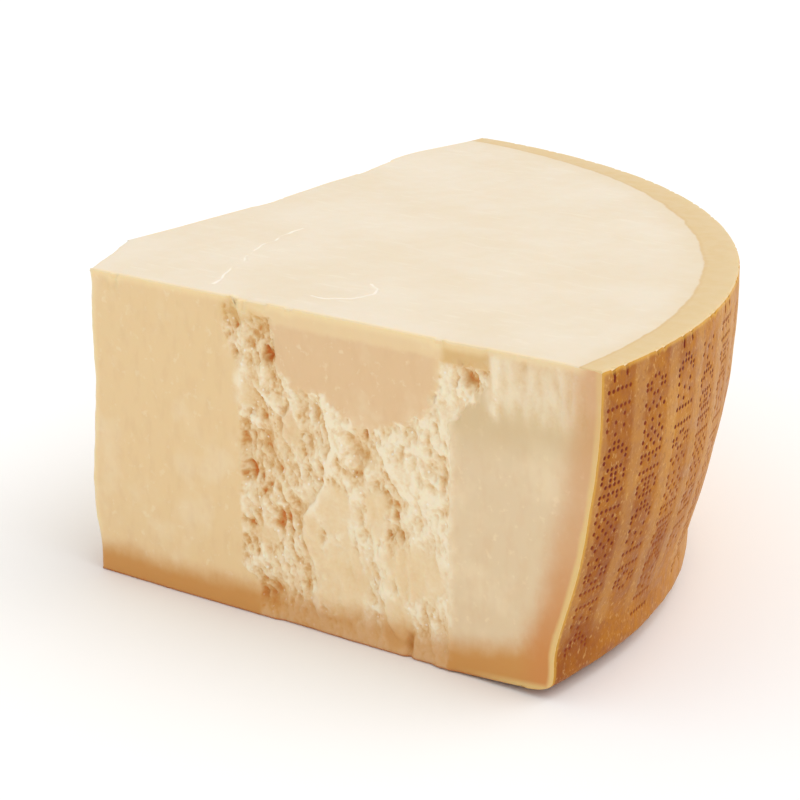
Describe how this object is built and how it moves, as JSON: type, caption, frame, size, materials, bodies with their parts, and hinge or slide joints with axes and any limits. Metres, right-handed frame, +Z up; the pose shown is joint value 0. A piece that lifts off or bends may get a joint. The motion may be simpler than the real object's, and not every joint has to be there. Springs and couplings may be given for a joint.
{
  "type": "parmesan chunk",
  "caption": "Chunk of hard aged cheese, a quarter of the lower half of a wheel, with a smooth top cut, crumbly broken faces and a dotted rind.",
  "frame": {"origin": "middle of the footprint of the piece's box, at the base it rests on", "axes": "+Z up, -Y out of the broken front face, +X towards the rind at the front face's right end, +Y towards the far end of the rind"},
  "size_m": [0.2152, 0.2526, 0.11],
  "materials": {
    "paste": "aged cheese paste, satin on the blade cuts and rough where it broke, with a tan rind on the round side and the base"
  },
  "bodies": {
    "root": {"cheese_chunk": "paste"}
  },
  "joints": []
}
